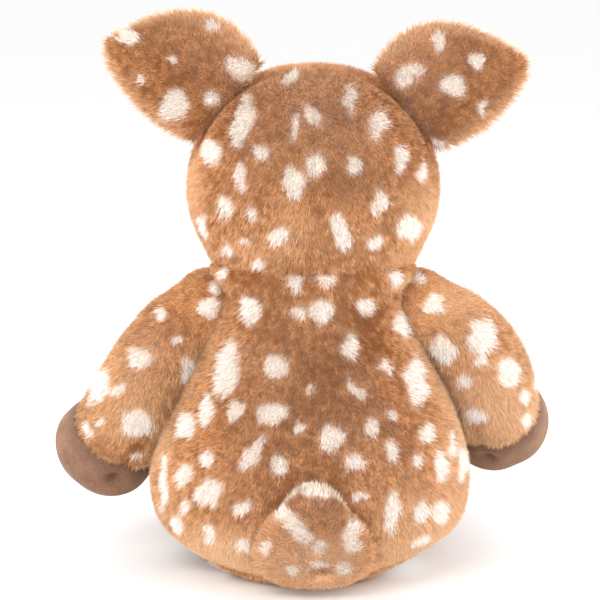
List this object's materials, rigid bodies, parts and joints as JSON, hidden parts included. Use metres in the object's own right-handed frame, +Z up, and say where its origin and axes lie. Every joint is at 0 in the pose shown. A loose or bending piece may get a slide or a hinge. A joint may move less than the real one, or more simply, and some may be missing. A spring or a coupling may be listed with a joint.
{
  "type": "plush deer",
  "caption": "Sitting plush fawn with a spotted fur body, suede hooves, folded ears and a short tail, whose head, ears, limbs and tail move at their sewn joints.",
  "frame": {"origin": "middle of the flat seat, on the surface that the toy sits on", "axes": "+Z up, -Y the way the fawn looks, +X its own left side"},
  "size_m": [0.263, 0.2436, 0.2844],
  "materials": {
    "spotted_fur": "long soft pile, warm brown with off-white spots",
    "cream_fur": "soft cream pile",
    "suede": "short-napped suede cloth, taupe brown",
    "fibre": "white polyester fibre fill",
    "pouch_cloth": "plain woven lining cloth",
    "pellets": "loose plastic pellets",
    "eye_plastic": "polished dark brown plastic",
    "washer_plastic": "plain white moulded plastic",
    "nose_velour": "dark brown velour"
  },
  "bodies": {
    "body": {"body_skin_left": "spotted_fur", "body_skin_right": "spotted_fur", "belly_panel": "cream_fur", "seat_panel": "spotted_fur", "body_stuffing": "fibre", "pellet_pouch": "pouch_cloth", "pellet_fill": "pellets"},
    "neck": {"neck_stuffing": "fibre"},
    "head": {"head_skin_left": "spotted_fur", "head_skin_right": "spotted_fur", "head_stuffing": "fibre", "muzzle_skin": "cream_fur", "nose": "nose_velour", "eye_left": "eye_plastic", "eye_right": "eye_plastic", "eye_left_washer": "washer_plastic", "eye_right_washer": "washer_plastic"},
    "ear_left": {"ear_left_back": "spotted_fur", "ear_left_lining": "cream_fur"},
    "ear_right": {"ear_right_back": "spotted_fur", "ear_right_lining": "cream_fur"},
    "arm_left": {"arm_left_sleeve": "spotted_fur", "arm_left_hoof": "suede", "arm_left_stuffing": "fibre"},
    "arm_right": {"arm_right_sleeve": "spotted_fur", "arm_right_hoof": "suede", "arm_right_stuffing": "fibre"},
    "leg_left": {"leg_left_sleeve": "spotted_fur", "leg_left_hoof": "suede", "leg_left_stuffing": "fibre"},
    "leg_right": {"leg_right_sleeve": "spotted_fur", "leg_right_hoof": "suede", "leg_right_stuffing": "fibre"},
    "tail": {"tail_back": "spotted_fur", "tail_lining": "cream_fur", "tail_stuffing": "fibre"}
  },
  "joints": [
    {"name": "head_turn", "type": "hinge", "parent": "body", "child": "neck", "pos_m": [0, -0.004, 0.19], "axis": [0, 0, 1], "range_deg": [-25, 25], "stiffness_Nm_per_rad": 0.4},
    {"name": "head_nod", "type": "hinge", "parent": "neck", "child": "head", "pos_m": [0, -0.004, 0.19], "axis": [1, 0, 0], "range_deg": [-13, 10], "stiffness_Nm_per_rad": 0.6},
    {"name": "ear_left_fold", "type": "hinge", "parent": "head", "child": "ear_left", "pos_m": [0.04176, 0.00936, 0.24065], "axis": [0.6561, 0, -0.7547], "range_deg": [-30, 30], "stiffness_Nm_per_rad": 0.05},
    {"name": "ear_right_fold", "type": "hinge", "parent": "head", "child": "ear_right", "pos_m": [-0.04497, 0.00929, 0.23739], "axis": [-0.6293, 0, -0.7771], "range_deg": [-30, 30], "stiffness_Nm_per_rad": 0.05},
    {"name": "arm_left_lift", "type": "hinge", "parent": "body", "child": "arm_left", "pos_m": [0.05386, 0, 0.137], "axis": [0, -1, 0], "range_deg": [0, 70], "stiffness_Nm_per_rad": 0.25},
    {"name": "arm_right_lift", "type": "hinge", "parent": "body", "child": "arm_right", "pos_m": [-0.05386, 0, 0.137], "axis": [0, 1, 0], "range_deg": [0, 70], "stiffness_Nm_per_rad": 0.25},
    {"name": "leg_left_lift", "type": "hinge", "parent": "body", "child": "leg_left", "pos_m": [0.044, -0.0639, 0.024], "axis": [-1, 0, 0], "range_deg": [0, 18], "stiffness_Nm_per_rad": 0.3},
    {"name": "leg_right_lift", "type": "hinge", "parent": "body", "child": "leg_right", "pos_m": [-0.044, -0.0639, 0.024], "axis": [-1, 0, 0], "range_deg": [0, 18], "stiffness_Nm_per_rad": 0.3},
    {"name": "tail_lift", "type": "hinge", "parent": "body", "child": "tail", "pos_m": [0, 0.0664, 0.0135], "axis": [-1, 0, 0], "range_deg": [0, 35], "stiffness_Nm_per_rad": 0.05}
  ]
}
